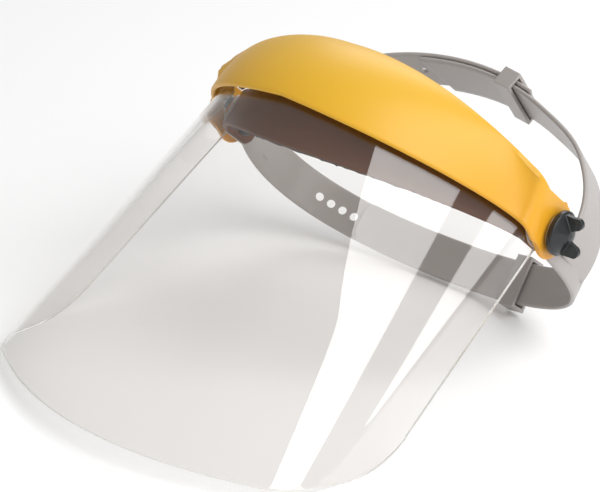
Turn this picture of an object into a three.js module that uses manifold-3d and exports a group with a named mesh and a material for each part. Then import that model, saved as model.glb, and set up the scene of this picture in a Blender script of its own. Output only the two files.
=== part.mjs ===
// Face shield: a moulded brow guard and a clear visor that flip up on a strap headgear.
// Millimetres, +Z up. The parts are drawn in the wearer's frame (+X the wearer's left ear, -Y ahead,
// +Z the top of the head, Z = 0 at mid height of the headband), and the whole group is then tipped
// back to the way it lies on a table, on the visor's two rear corners and the nape strap.
import * as THREE from 'three';
import { mergeVertices } from 'three/addons/utils/BufferGeometryUtils.js';
import Module from 'manifold-3d';

const wasm = await Module();
wasm.setup();

// ---- Driving dimensions ----
const GAP = 0.3;                    // air between pieces that touch

// The headband loop, middle of its wall: a curved brow, a flat stretch at each temple, a round nape.
const TEMPLE_X = 81.5;
const TEMPLE_FRONT = -26.5;
const TEMPLE_REAR = -8.5;
const LOOP_FRONT = 91;
const LOOP_REAR = 65.5;
const BROW_PULL = 35;               // handles of the curves, from their ends
const BROW_TEMPLE_PULL = 11;
const NAPE_PULL = 74;
const NAPE_TEMPLE_PULL = 45;
const TEMPLE_BEND = THREE.MathUtils.degToRad(20);   // how far the band turns at the flat stretch
const BROW_DROP = 9;                // how much lower the band sits at the forehead
const BROW_LEAN = 4;                // how far its top edge leans in there
const NAPE_DROP = 14.2;             // how much lower it sits at the nape
const BAND_HEIGHT = 20;
const BAND_WALL = 2;
const LAYER = BAND_WALL / 2 + GAP / 2;  // each of two lapped straps lies this far off the middle

// The crown strap's arch, leaning back.
const CROWN_Y = 11.7;
const CROWN_RISE = 61.9;
const CROWN_HALF_SPAN = 86.4;
const CROWN_LEAN = THREE.MathUtils.degToRad(8.7);
const CROWN_WIDTH = 25.8;
const CROWN_FLARE = 0.16;           // extra width where the crown strap grows out of the headband

// Places round the loop: 0 is the forehead, 1 the nape, then on to 2 by the wearer's right side.
const BROW_END = 0.488;
const HARNESS_START = 0.4;
const NAPE_KEEPER_AT = 0.835;
const NAPE_OUTER_END = 0.8;
const NAPE_INNER_END = 1.197;
const NAPE_STUDS = [0.95, 1.03];
const NAPE_HOLES = [1.21, 1.2345, 1.259, 1.2835];
// Places over the arch, in degrees from the left temple to the right.
const CROWN_FOOT = -6;
const CROWN_KEEPER_AT = 75;
const CROWN_OUTER_END = 70;
const CROWN_INNER_END = 104;
const CROWN_SLANT = 6;              // degrees between the front and rear ends of a slanted end
const CROWN_STUDS = [86, 93];
const CROWN_HOLES = [105.3, 109.7, 114.1, 118.5];
const HOLE_RADIUS = 2.1;
const STUD_RADIUS = 1.7;
const STUD_HEAD_RADIUS = 3.4;

// Sleeves that hold the lapped straps together.
const KEEPER_LENGTH = 9;
const KEEPER_WALL = 1.6;
const KEEPER_PLAY = 0.7;            // air on each side of the straps

// The pivots at the temples, from the inside out.
const PIVOT_Y = -17.4;
const PIVOT_Z = -0.5;
const BOLT_RADIUS = 2.8;
const BOLT_HOLE = BOLT_RADIUS + GAP;
const BOLT_HEAD_RADIUS = 6.8;
const BOLT_HEAD_HEIGHT = 2;
const BROW_SEAT_X = 79;             // flat boss inside the brow band
const BROW_SEAT_RADIUS = 8.5;
const HARNESS_SEAT_X = 84;          // flat boss outside the harness
const HARNESS_SEAT_RADIUS = 8.8;
const SEAT_RISE = 1.2;              // how thick each flat boss is
const WASHER_THICKNESS = 1.2;
const WASHER_RADIUS = 8.6;
const EAR_WALL = 2.2;
const EAR_RADIUS = 12.6;
const EAR_INNER_X = HARNESS_SEAT_X + WASHER_THICKNESS + 2 * GAP;
const EAR_X = EAR_INNER_X + EAR_WALL / 2;
const BUSH_RADIUS = 4.5;
const SPRING_X = EAR_INNER_X + EAR_WALL + GAP;
const SPRING_THICKNESS = 0.8;
const SPRING_RADIUS = 7.5;
const KNOB_X = SPRING_X + SPRING_THICKNESS + GAP;
const KNOB_RADIUS = 9.4;
const KNOB_BASE = 2.4;
const KNOB_HEIGHT = 6.8;
const KNOB_TURN = THREE.MathUtils.degToRad(35);
const INSERT_RADIUS = 4.3;
const INSERT_LENGTH = 4;
const WING_THICKNESS = 2.4;

// The brow guard.
const GUARD_PROFILE_POWER = 1.5;    // 1 is a straight wall, 2 an elliptical one
const GUARD_FLANGE = 5;
const FLANGE_LEAST = 0.6;
const WALL_SHARE = 0.875;           // the wall's share of the way up; the flange has the rest

// The visor. Straight lines run down the sheet. Near the free edge they belong to the flat side
// flap, and through the bend they fan out, because the bottom is bent more sharply than the top.
const VISOR_THICKNESS = 1;
const VISOR_CORNER_RADIUS = 17;
const FLAP_TOP = 0.09;
const FLAP_BOTTOM = 0.19;
const BEND_TOP = 0.5;
const BEND_BOTTOM = 0.36;
const CLIP_PLACES = [-0.62, -0.2, 0.2, 0.62];
const CLIP_DOWN = 0.035;            // how far down the visor the clips sit, of its height
const CLIP_SHANK = 1.5;
const CLIP_HEAD = 3.2;
const BOSS_RADIUS = 3.4;
const BOSS_FLOOR = 0.7;             // a clip's hole ends this far short of the middle of the wall

const PAD_THICKNESS = 5;
const PAD_HEIGHT = 19;
const PAD_END = 0.3;                // as a place round the loop

const LYING_TILT = THREE.MathUtils.degToRad(35.2);

// ---- Materials ----
const yellow = new THREE.MeshStandardMaterial({ color: 0xe8bb33, roughness: 0.5 });
const clear = new THREE.MeshStandardMaterial({
  color: 0xf2efec, roughness: 0.06, transparent: true, opacity: 0.3 });
const grey = new THREE.MeshStandardMaterial({ color: 0x9b9590, roughness: 0.4 });
const brown = new THREE.MeshStandardMaterial({ color: 0x5c3e2b, roughness: 0.45 });
const black = new THREE.MeshStandardMaterial({ color: 0x1b2021, roughness: 0.35 });
const foam = new THREE.MeshStandardMaterial({ color: 0x4a4642, roughness: 0.95 });
const steel = new THREE.MeshStandardMaterial({ color: 0xb4b7ba, roughness: 0.35, metalness: 1 });
const nylon = new THREE.MeshStandardMaterial({ color: 0xd9d6cf, roughness: 0.5 });
const brass = new THREE.MeshStandardMaterial({ color: 0xb8913f, roughness: 0.35, metalness: 1 });

const shield = new THREE.Group();

function place(name, geometry, material) {
  const mesh = new THREE.Mesh(geometry, material);
  mesh.name = name;
  shield.add(mesh);
}

// ---- Booleans ----
function solid(geometry) {
  const bare = geometry.clone();
  bare.deleteAttribute('normal');
  bare.deleteAttribute('uv');
  const merged = mergeVertices(bare, 1e-4);
  return new wasm.Manifold(new wasm.Mesh({
    numProp: 3,
    vertProperties: new Float32Array(merged.attributes.position.array),
    triVerts: new Uint32Array(merged.index.array) }));
}

function geometryOf(manifold) {
  const mesh = manifold.getMesh();
  const geometry = new THREE.BufferGeometry();
  geometry.setAttribute('position', new THREE.BufferAttribute(mesh.vertProperties, 3));
  geometry.setIndex(new THREE.BufferAttribute(mesh.triVerts, 1));
  geometry.computeVertexNormals();
  return geometry;
}

// ---- Thin sheets ----
// A closed solid of even thickness round the surface point(u, v), with u and v from 0 to 1.
function sheet(point, uSteps, vSteps, thickness) {
  const positions = [];
  const step = 1e-3;
  const normalAt = (u, v) => {
    const alongU = point(Math.min(u + step, 1), v).sub(point(Math.max(u - step, 0), v));
    const alongV = point(u, Math.min(v + step, 1)).sub(point(u, Math.max(v - step, 0)));
    return alongU.cross(alongV).normalize();
  };
  for (const side of [0.5, -0.5]) {
    for (let i = 0; i <= uSteps; i++) {
      for (let j = 0; j <= vSteps; j++) {
        const u = i / uSteps;
        const v = j / vSteps;
        const p = point(u, v).addScaledVector(normalAt(u, v), side * thickness);
        positions.push(p.x, p.y, p.z);
      }
    }
  }
  const row = vSteps + 1;
  const layer = (uSteps + 1) * row;
  const index = [];
  const quad = (a, b, c, d) => index.push(a, b, c, a, c, d);
  for (let i = 0; i < uSteps; i++) {
    for (let j = 0; j < vSteps; j++) {
      const a = i * row + j;
      quad(a, a + row, a + row + 1, a + 1);
      quad(layer + a, layer + a + 1, layer + a + row + 1, layer + a + row);
    }
    const low = i * row;
    const high = low + vSteps;
    quad(low, layer + low, layer + low + row, low + row);
    quad(high, high + row, layer + high + row, layer + high);
  }
  for (let j = 0; j < vSteps; j++) {
    const last = uSteps * row + j;
    quad(j, j + 1, layer + j + 1, layer + j);
    quad(last, layer + last, layer + last + 1, last + 1);
  }
  const geometry = new THREE.BufferGeometry();
  geometry.setAttribute('position', new THREE.Float32BufferAttribute(positions, 3));
  geometry.setIndex(index);
  geometry.computeVertexNormals();
  return geometry;
}

// A turned piece on an axis along X. The profile is [distance along X, radius] pairs.
function turned(profile, side, segments = 24) {
  const points = profile.map(([x, r]) => new THREE.Vector2(r, x));
  points.push(points[0].clone());
  const geometry = new THREE.LatheGeometry(points, segments);
  geometry.rotateZ(-Math.PI / 2);
  if (side < 0) geometry.rotateY(Math.PI);
  geometry.translate(0, PIVOT_Y, PIVOT_Z);
  return geometry;
}

// A plain rod on the pivot axis, from x0 to x1.
const rod = (x0, x1, radius, side) => turned([[x0, 0], [x0, radius], [x1, radius], [x1, 0]], side);

// A rod of any direction, from one distance to another along it, for holes and studs.
function rodBetween(origin, direction, from, to, radius, segments = 12) {
  const geometry = new THREE.CylinderGeometry(radius, radius, to - from, segments);
  const turn = new THREE.Quaternion().setFromUnitVectors(new THREE.Vector3(0, 1, 0), direction);
  geometry.applyQuaternion(turn);
  const centre = origin.clone().addScaledVector(direction, (from + to) / 2);
  geometry.translate(centre.x, centre.y, centre.z);
  return solid(geometry);
}

// ---- The headband loop ----
const smooth = THREE.MathUtils.smoothstep;
const at = (x, y, z) => new THREE.Vector3(x, y, z);

const halfLoop = new THREE.CurvePath();
const bendX = Math.sin(TEMPLE_BEND);
const bendY = Math.cos(TEMPLE_BEND);
halfLoop.add(new THREE.CubicBezierCurve3(at(0, -LOOP_FRONT, 0), at(BROW_PULL, -LOOP_FRONT, 0),
  at(TEMPLE_X - BROW_TEMPLE_PULL * bendX, TEMPLE_FRONT - BROW_TEMPLE_PULL * bendY, 0),
  at(TEMPLE_X, TEMPLE_FRONT, 0)));
halfLoop.add(new THREE.LineCurve3(at(TEMPLE_X, TEMPLE_FRONT, 0), at(TEMPLE_X, TEMPLE_REAR, 0)));
halfLoop.add(new THREE.CubicBezierCurve3(at(TEMPLE_X, TEMPLE_REAR, 0),
  at(TEMPLE_X + NAPE_TEMPLE_PULL * bendX, TEMPLE_REAR + NAPE_TEMPLE_PULL * bendY, 0),
  at(NAPE_PULL, LOOP_REAR, 0), at(0, LOOP_REAR, 0)));

function loopPlan(place) {
  const round = THREE.MathUtils.euclideanModulo(place, 2);
  const p = halfLoop.getPoint(Math.min(round, 2 - round));
  return round > 1 ? p.setX(-p.x) : p;
}

function loopOutward(place) {
  const along = loopPlan(place + 0.004).sub(loopPlan(place - 0.004));
  return at(along.y, -along.x, 0).normalize();
}

// The point at a place round the loop, off the middle of the wall, at a height on the band.
function loopPoint(place, off, height) {
  const p = loopPlan(place);
  const toNape = Math.max(p.y - TEMPLE_REAR, 0) / (LOOP_REAR - TEMPLE_REAR);
  const toBrow = Math.max(TEMPLE_FRONT - p.y, 0) / (LOOP_FRONT + TEMPLE_FRONT);
  const drop = NAPE_DROP * toNape + BROW_DROP * toBrow ** 1.5;
  const lean = BROW_LEAN * smooth(toBrow, 0, 0.4) * (height / BAND_HEIGHT + 0.5);
  return p.addScaledVector(loopOutward(place), off - lean).setZ(height - drop);
}

// ---- The crown arch ----
function archPlan(degrees) {
  const t = THREE.MathUtils.degToRad(degrees);
  return new THREE.Vector2(CROWN_HALF_SPAN * Math.cos(t), CROWN_RISE * Math.sin(t));
}

function archPoint(degrees, off, across) {
  const here = archPlan(degrees);
  const along = archPlan(degrees + 0.6).sub(archPlan(degrees - 0.6)).normalize();
  const up = here.y - along.x * off;
  const lean = at(0, Math.sin(CROWN_LEAN), Math.cos(CROWN_LEAN));
  const back = at(0, Math.cos(CROWN_LEAN), -Math.sin(CROWN_LEAN));
  return at(here.x + along.y * off, CROWN_Y, 0).addScaledVector(lean, up).addScaledVector(back, across);
}

const archOutward = (degrees) => archPoint(degrees, 1, 0).sub(archPoint(degrees, 0, 0));

// Half width of a strap near a rounded end: a quarter circle over the last stretch.
function roundedEnd(fraction, stretch) {
  const into = Math.min(fraction / stretch, 1);
  return 0.35 + 0.65 * Math.sqrt(1 - (1 - into) ** 2);
}

// A strap round the loop from one place to another, off(place) from the middle of the wall.
function loopStrap(from, to, off, roundStart, roundStop, steps) {
  return solid(sheet((u, v) => {
    const place = THREE.MathUtils.lerp(from, to, u);
    const narrowing = Math.min(roundedEnd(u, roundStart), roundedEnd(1 - u, roundStop));
    return loopPoint(place, off(place), (v - 0.5) * BAND_HEIGHT * narrowing);
  }, steps, 2, BAND_WALL));
}

// A strap over the arch. Its end is cut at a slant, longer on its front edge.
function archStrap(from, to, off, steps) {
  return solid(sheet((u, v) => {
    const slant = CROWN_SLANT * Math.sign(to - from) * (0.5 - v) * u ** 8;
    const degrees = THREE.MathUtils.lerp(from, to, u) + slant;
    const fromBand = Math.min(degrees, 180 - degrees);
    const width = CROWN_WIDTH * (1 + CROWN_FLARE * (1 - smooth(fromBand, 0, 24)));
    return archPoint(degrees, off(degrees), (v - 0.5) * width);
  }, steps, 1, BAND_WALL));
}

// ---- Headgear ----
function browBand() {
  let band = loopStrap(-BROW_END, BROW_END, () => -LAYER, 0.02, 0.02, 84);
  for (const side of [1, -1]) {
    band = band.add(solid(rod(BROW_SEAT_X, BROW_SEAT_X + SEAT_RISE, BROW_SEAT_RADIUS, side)));
    band = band.subtract(solid(rod(BROW_SEAT_X - 2, BROW_SEAT_X + 4, BOLT_HOLE, side)));
  }
  place('brow_band', geometryOf(band), brown);
}

// A mushroom stud that stands on the under strap and snaps through a hole of the outer one.
function stud(middle, outward) {
  const underHead = LAYER + BAND_WALL / 2 + GAP;
  const stem = rodBetween(middle, outward, -LAYER, underHead + 0.5, STUD_RADIUS);
  return stem.add(rodBetween(middle, outward, underHead, underHead + 1, STUD_HEAD_RADIUS, 16));
}

function boltSeat(half, side) {
  const seat = rod(HARNESS_SEAT_X - SEAT_RISE, HARNESS_SEAT_X, HARNESS_SEAT_RADIUS, side);
  const hole = rod(HARNESS_SEAT_X - 4, HARNESS_SEAT_X + 2, BOLT_HOLE, side);
  return half.add(solid(seat)).subtract(solid(hole));
}

// The wearer's left half: at the nape and the crown it dives under the other half.
function harnessLeft() {
  const napeOff = (place) => THREE.MathUtils.lerp(LAYER, -LAYER, smooth(place, 0.6, 0.76));
  const crownOff = (degrees) => THREE.MathUtils.lerp(LAYER, -LAYER, smooth(degrees, 36, 60));
  let half = loopStrap(HARNESS_START, NAPE_INNER_END, napeOff, 0.04, 0.02, 64);
  half = half.add(archStrap(CROWN_FOOT, CROWN_INNER_END, crownOff, 44));
  half = boltSeat(half, 1);
  for (const place of NAPE_STUDS) {
    half = half.add(stud(loopPoint(place, 0, 0), loopOutward(place)));
  }
  for (const degrees of CROWN_STUDS) {
    half = half.add(stud(archPoint(degrees, 0, 0), archOutward(degrees)));
  }
  place('harness_left', geometryOf(half), grey);
}

function harnessRight() {
  let half = loopStrap(2 - HARNESS_START, NAPE_OUTER_END, () => LAYER, 0.04, 0.02, 68);
  half = half.add(archStrap(180 - CROWN_FOOT, CROWN_OUTER_END, () => LAYER, 44));
  half = boltSeat(half, -1);
  for (const place of [...NAPE_HOLES, ...NAPE_STUDS]) {
    half = half.subtract(
      rodBetween(loopPoint(place, LAYER, 0), loopOutward(place), -3, 3, HOLE_RADIUS));
  }
  for (const degrees of [...CROWN_HOLES, ...CROWN_STUDS]) {
    half = half.subtract(
      rodBetween(archPoint(degrees, LAYER, 0), archOutward(degrees), -3, 3, HOLE_RADIUS));
  }
  place('harness_right', geometryOf(half), grey);
}

// A sleeve round both straps, in a frame of along the strap, across it and outward.
function keeper(name, before, centre, after, outward, strapWidth) {
  const along = after.sub(before).normalize();
  const out = outward.addScaledVector(along, -outward.dot(along)).normalize();
  const slotWidth = strapWidth + 2 * KEEPER_PLAY;
  const slotDepth = 2 * BAND_WALL + GAP + 2 * KEEPER_PLAY;
  const outer = new THREE.BoxGeometry(
    KEEPER_LENGTH, slotWidth + 2 * KEEPER_WALL, slotDepth + 2 * KEEPER_WALL);
  const inner = new THREE.BoxGeometry(KEEPER_LENGTH + 2, slotWidth, slotDepth);
  const frame = new THREE.Matrix4().makeBasis(along, out.clone().cross(along), out);
  frame.setPosition(centre);
  outer.applyMatrix4(frame);
  inner.applyMatrix4(frame);
  place(name, geometryOf(solid(outer).subtract(solid(inner))), grey);
}

function keepers() {
  const round = (step) => loopPoint(NAPE_KEEPER_AT + step, 0, 0);
  keeper('nape_keeper', round(-0.01), round(0), round(0.01), loopOutward(NAPE_KEEPER_AT), BAND_HEIGHT);
  const over = (step) => archPoint(CROWN_KEEPER_AT + step, 0, 0);
  keeper('crown_keeper', over(-1), over(0), over(1), archOutward(CROWN_KEEPER_AT), CROWN_WIDTH);
}

function sweatband() {
  const off = -LAYER - BAND_WALL / 2 - GAP - PAD_THICKNESS / 2;
  const pad = sheet((u, v) => loopPoint(
    THREE.MathUtils.lerp(-PAD_END, PAD_END, u), off, (v - 0.5) * PAD_HEIGHT), 40, 2, PAD_THICKNESS);
  place('sweatband', pad, foam);
}

// ---- Brow guard ----
// Half of an edge of the guard, from the middle of the brow to the flat ear plate.
function guardEdge(middle, pull, shoulder, bend, corner, ear) {
  const path = new THREE.CurvePath();
  path.add(new THREE.CubicBezierCurve3(middle, pull, shoulder, bend));
  path.add(new THREE.QuadraticBezierCurve3(bend, corner, ear));
  return path;
}

const lipEdge = guardEdge(at(0, -101.7, -2.8), at(55.2, -101.7, -6.2), at(70.8, -45.4, -1.3),
  at(83.8, -39, -5.6), at(EAR_X, -37.5, -6.6), at(EAR_X, -31, -8.8));
const crestEdge = guardEdge(at(0, -73.2, 32), at(41.3, -73.2, 33.3), at(74.5, -49.9, 17.6),
  at(84.2, -44.4, 13.4), at(EAR_X, -42.9, 12.2), at(EAR_X, -36.5, 10.8));

function mirrored(path, along) {
  const p = path.getPoint(Math.min(Math.abs(along), 1));
  return along < 0 ? p.setX(-p.x) : p;
}

// The guard's wall swells up and back from the lip to the crest, then ends in a level flange that
// points in to the head and dies out towards the ears.
function guardPoint(along, up) {
  const lip = mirrored(lipEdge, along);
  const crest = mirrored(crestEdge, along);
  if (up > WALL_SHARE) {
    const ahead = mirrored(crestEdge, along + 0.01).sub(mirrored(crestEdge, along - 0.01));
    const inward = at(-ahead.y, ahead.x, 0).normalize();
    const share = (up - WALL_SHARE) / (1 - WALL_SHARE);
    const reach = GUARD_FLANGE * (1 - smooth(Math.abs(along), 0.5, 0.95)) + FLANGE_LEAST;
    return crest.addScaledVector(inward, share * reach);
  }
  const back = crest.clone().sub(lip).setZ(0);
  const angle = (up / WALL_SHARE) * Math.PI / 2;
  const power = 2 / GUARD_PROFILE_POWER;
  const rise = (crest.z - lip.z) * Math.sin(angle) ** power;
  const p = lip.clone().addScaledVector(back, 1 - Math.cos(angle) ** power);
  return p.setZ(lip.z + rise);
}

// The flat plate at the temple: two straight edges that run into a round end about the pivot.
function earPlate(side) {
  const outline = new THREE.Shape();
  outline.moveTo(-33, -8.2);
  outline.absarc(PIVOT_Y, PIVOT_Z, EAR_RADIUS, THREE.MathUtils.degToRad(-118), Math.PI / 2, false);
  outline.lineTo(-38, 10.9);
  const plate = new THREE.ExtrudeGeometry(outline,
    { depth: EAR_WALL, bevelEnabled: false, curveSegments: 28 });
  plate.applyMatrix4(new THREE.Matrix4().makeBasis(at(0, 1, 0), at(0, 0, 1), at(1, 0, 0)));
  plate.translate(side > 0 ? EAR_INNER_X : -EAR_INNER_X - EAR_WALL, 0, 0);
  return solid(plate);
}

function browGuard() {
  let guard = solid(sheet((u, v) => guardPoint(2 * u - 1, v), 64, 8, EAR_WALL));
  for (const side of [1, -1]) {
    guard = guard.add(earPlate(side));
    guard = guard.subtract(solid(rod(EAR_INNER_X - 2, EAR_INNER_X + 5, BUSH_RADIUS + GAP, side)));
  }
  for (const across of CLIP_PLACES) {
    const { centre, outward, wall } = clipSeat(across);
    guard = guard.add(rodBetween(centre, outward, VISOR_THICKNESS / 2 + GAP, wall, BOSS_RADIUS));
    guard = guard.subtract(rodBetween(centre, outward, 0, wall - BOSS_FLOOR, CLIP_SHANK + GAP));
  }
  place('brow_guard', geometryOf(guard), yellow);
}

// ---- Visor ----
const VISOR_X = EAR_INNER_X - VISOR_THICKNESS / 2 - 0.35;
const topBend = at(VISOR_X, -27, -3);
const topShoulder = at(81.4, -34.1, 4);
const visorTop = new THREE.CurvePath();
visorTop.add(new THREE.LineCurve3(at(VISOR_X, -20.8, -9.5), topBend));
visorTop.add(new THREE.QuadraticBezierCurve3(topBend, at(VISOR_X, -32.4, 3.2), topShoulder));
visorTop.add(new THREE.CubicBezierCurve3(
  topShoulder, at(67.8, -40.5, 7), at(52, -96.5, 5), at(0, -96.5, 6)));

const rearCorner = at(88.3, -60.6, -117.6);
const bendRear = at(82.1, -86.4, -131.2);
const bendFront = at(70, -102.9, -139.9);
const visorBottom = new THREE.CurvePath();
visorBottom.add(new THREE.LineCurve3(rearCorner, bendRear));
visorBottom.add(new THREE.QuadraticBezierCurve3(bendRear, at(79, -98, -137.3), bendFront));
visorBottom.add(new THREE.CubicBezierCurve3(
  bendFront, at(46.7, -115.6, -146.6), at(23.3, -122, -149.9), at(0, -122, -149.9)));

function lineShare(s, first, second) {
  const { lerp } = THREE.MathUtils;
  if (s < 0.25) return lerp(0, first, s / 0.25);
  if (s < 0.6) return lerp(first, second, (s - 0.25) / 0.35);
  return lerp(second, 1, (s - 0.6) / 0.4);
}

function visorPoint(across, down) {
  const s = 1 - Math.abs(across);
  const top = visorTop.getPoint(lineShare(s, FLAP_TOP, BEND_TOP));
  const bottom = visorBottom.getPoint(lineShare(s, FLAP_BOTTOM, BEND_BOTTOM));
  const fromEdge = Math.min(bottom.distanceTo(rearCorner), VISOR_CORNER_RADIUS);
  const inset = VISOR_CORNER_RADIUS - fromEdge;
  const cut = VISOR_CORNER_RADIUS - Math.sqrt(VISOR_CORNER_RADIUS ** 2 - inset ** 2);
  const reach = 1 - cut / top.distanceTo(bottom);
  const p = top.lerp(bottom, down * reach);
  return across < 0 ? p.setX(-p.x) : p;
}

// A place for a clip: the middle of the visor there, the way out, and how far off the guard's wall is.
function clipSeat(u) {
  const centre = visorPoint(u, CLIP_DOWN);
  const side = visorPoint(u + 0.01, CLIP_DOWN).sub(visorPoint(u - 0.01, CLIP_DOWN));
  const down = visorPoint(u, CLIP_DOWN + 0.02).sub(visorPoint(u, CLIP_DOWN - 0.02));
  const outward = down.cross(side).normalize();
  let wall = 0;
  let nearest = Infinity;
  for (let along = -1; along <= 1; along += 0.01) {
    for (let up = 0; up < WALL_SHARE; up += 0.02) {
      const to = guardPoint(along, up).sub(centre);
      const ahead = to.dot(outward);
      const aside = to.addScaledVector(outward, -ahead).length();
      if (aside < nearest && ahead > 0) {
        nearest = aside;
        wall = ahead;
      }
    }
  }
  return { centre, outward, wall };
}

function visor() {
  let pane = solid(sheet((u, v) => visorPoint(2 * u - 1, 1 - v), 64, 4, VISOR_THICKNESS));
  for (const across of CLIP_PLACES) {
    const { centre, outward } = clipSeat(across);
    pane = pane.subtract(rodBetween(centre, outward, -2, 2, CLIP_SHANK + GAP));
  }
  place('visor', geometryOf(pane), clear);
}

// Push studs that hold the visor against the guard's bosses.
function clips() {
  CLIP_PLACES.forEach((across, i) => {
    const { centre, outward, wall } = clipSeat(across);
    const under = -VISOR_THICKNESS / 2 - GAP;
    const head = rodBetween(centre, outward, under - 1.2, under, CLIP_HEAD, 20);
    const shank = rodBetween(centre, outward, under - 0.5, wall - BOSS_FLOOR - GAP, CLIP_SHANK);
    place(`visor_clip_${i + 1}`, geometryOf(head.add(shank)), black);
  });
}

// ---- Pivot hardware ----
// A round base that swells into a low dome, and one blade across it with two finger hollows.
function wingKnob(side) {
  const outer = KNOB_X + KNOB_BASE;
  let knob = solid(turned([[KNOB_X, 0], [KNOB_X, KNOB_RADIUS - 0.6], [KNOB_X + 0.6, KNOB_RADIUS],
    [outer, KNOB_RADIUS], [outer + 0.8, KNOB_RADIUS - 1.2], [outer + 2.6, 5.2], [outer + 4, 2.6],
    [KNOB_X + KNOB_HEIGHT, 0]], side, 36));
  const wing = new THREE.Shape();
  wing.moveTo(-8.6, 0);
  wing.lineTo(-8.2, 4.6);
  wing.absarc(-5.9, 6.4, 2.6, Math.PI * 0.9, 0.25, true);
  wing.lineTo(-1.6, 3.4);
  wing.lineTo(1.6, 3.4);
  wing.absarc(5.9, 6.4, 2.6, Math.PI - 0.25, Math.PI * 0.1, true);
  wing.lineTo(8.6, 0);
  const blade = new THREE.ExtrudeGeometry(wing,
    { depth: WING_THICKNESS, bevelEnabled: false, curveSegments: 10 });
  blade.translate(0, 0, -WING_THICKNESS / 2);
  blade.rotateX(Math.PI / 2);
  blade.rotateY(Math.PI / 2);
  blade.rotateX(KNOB_TURN);
  blade.translate(outer - 0.6, PIVOT_Y, PIVOT_Z);
  knob = knob.add(solid(side > 0 ? blade : mirrorX(blade)));
  const socket = rod(KNOB_X - 1, KNOB_X + INSERT_LENGTH + 1.2, INSERT_RADIUS + GAP, side);
  knob = knob.subtract(solid(socket));
  place(`wing_knob_${sideName(side)}`, geometryOf(knob), black);
}

const sideName = (side) => (side > 0 ? 'left' : 'right');

// The same shape on the other side of the head, with its faces turned to point out again.
function mirrorX(geometry) {
  const flipped = geometry.index ? geometry.toNonIndexed() : geometry.clone();
  flipped.scale(-1, 1, 1);
  const p = flipped.attributes.position;
  for (let i = 0; i < p.count; i += 3) {
    const a = new THREE.Vector3().fromBufferAttribute(p, i + 1);
    const b = new THREE.Vector3().fromBufferAttribute(p, i + 2);
    p.setXYZ(i + 1, b.x, b.y, b.z);
    p.setXYZ(i + 2, a.x, a.y, a.z);
  }
  return flipped;
}

// A flat ring on the pivot axis.
function ring(x0, x1, inner, outer, side) {
  return turned([[x0, inner], [x0, outer], [x1, outer], [x1, inner]], side);
}

function pivotHardware(side) {
  const name = sideName(side);
  const headFace = BROW_SEAT_X - GAP;
  const headBack = headFace - BOLT_HEAD_HEIGHT;
  const tip = KNOB_X + INSERT_LENGTH + 0.7;
  const bolt = turned([[headBack, 0], [headBack, BOLT_HEAD_RADIUS - 2], [headFace - 0.6, BOLT_HEAD_RADIUS],
    [headFace, BOLT_HEAD_RADIUS], [headFace, BOLT_RADIUS], [tip - 0.3, BOLT_RADIUS],
    [tip, BOLT_RADIUS - 0.4], [tip, 0]], side);
  place(`pivot_bolt_${name}`, bolt, black);
  const washerX = HARNESS_SEAT_X + GAP;
  place(`friction_washer_${name}`,
    ring(washerX, washerX + WASHER_THICKNESS, BOLT_HOLE, WASHER_RADIUS, side), nylon);
  place(`ear_bush_${name}`,
    ring(EAR_INNER_X, EAR_INNER_X + EAR_WALL, BOLT_HOLE, BUSH_RADIUS, side), nylon);
  place(`spring_washer_${name}`,
    ring(SPRING_X, SPRING_X + SPRING_THICKNESS, BOLT_HOLE, SPRING_RADIUS, side), steel);
  place(`knob_insert_${name}`,
    ring(KNOB_X, KNOB_X + INSERT_LENGTH, BOLT_HOLE, INSERT_RADIUS, side), brass);
  wingKnob(side);
}

browBand();
harnessLeft();
harnessRight();
keepers();
sweatband();
browGuard();
visor();
clips();
pivotHardware(1);
pivotHardware(-1);

// Tip the whole piece back and stand it on Z = 0, centred on the origin.
shield.rotation.x = -LYING_TILT;
shield.updateMatrixWorld(true);
const box = new THREE.Box3().setFromObject(shield, true);
shield.position.set(-(box.min.x + box.max.x) / 2, -(box.min.y + box.max.y) / 2, -box.min.z);

export default shield;
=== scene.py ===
# %% [markdown]
# A face shield: a yellow brow guard and a clear visor that flip up on a grey strap headgear. The
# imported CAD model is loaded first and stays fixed. Everything below builds nicer surfaces round it
# in the same place, and names the CAD pieces that each of them stands for.

# %% Start
import math

import bmesh
import bpy
import numpy as np
from mathutils import Matrix, Vector


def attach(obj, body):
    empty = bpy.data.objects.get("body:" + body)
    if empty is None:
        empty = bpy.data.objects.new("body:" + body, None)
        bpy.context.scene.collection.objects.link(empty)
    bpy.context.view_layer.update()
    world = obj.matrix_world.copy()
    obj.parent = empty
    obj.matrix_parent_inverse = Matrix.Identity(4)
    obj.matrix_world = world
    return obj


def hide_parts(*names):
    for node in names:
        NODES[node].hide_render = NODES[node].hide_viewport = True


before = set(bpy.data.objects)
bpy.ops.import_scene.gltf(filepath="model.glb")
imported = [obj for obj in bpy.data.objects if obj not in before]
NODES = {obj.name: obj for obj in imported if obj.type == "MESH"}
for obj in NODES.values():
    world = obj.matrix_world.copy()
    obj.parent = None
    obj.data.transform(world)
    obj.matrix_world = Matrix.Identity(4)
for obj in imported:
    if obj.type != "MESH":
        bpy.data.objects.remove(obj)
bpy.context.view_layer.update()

# %% [markdown]
# The camera. The face shield is seen from its left front and a little above, with a long lens from
# under a metre away, and the camera is held a few degrees off level. A camera could be aimed with
# a Track To constraint, but the tilt is easier to see in plain vectors: look along one direction,
# then turn the picture about it.

# %% Camera
CAMERA_PLACE = Vector((0.3735, -0.4627, 0.2957))
CAMERA_AIM = Vector((-0.0917, 0.1068, -0.0142))
CAMERA_TILT = math.radians(4.67)
CAMERA_LENS = 93.1                  # millimetres on a 36 mm sensor

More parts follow.
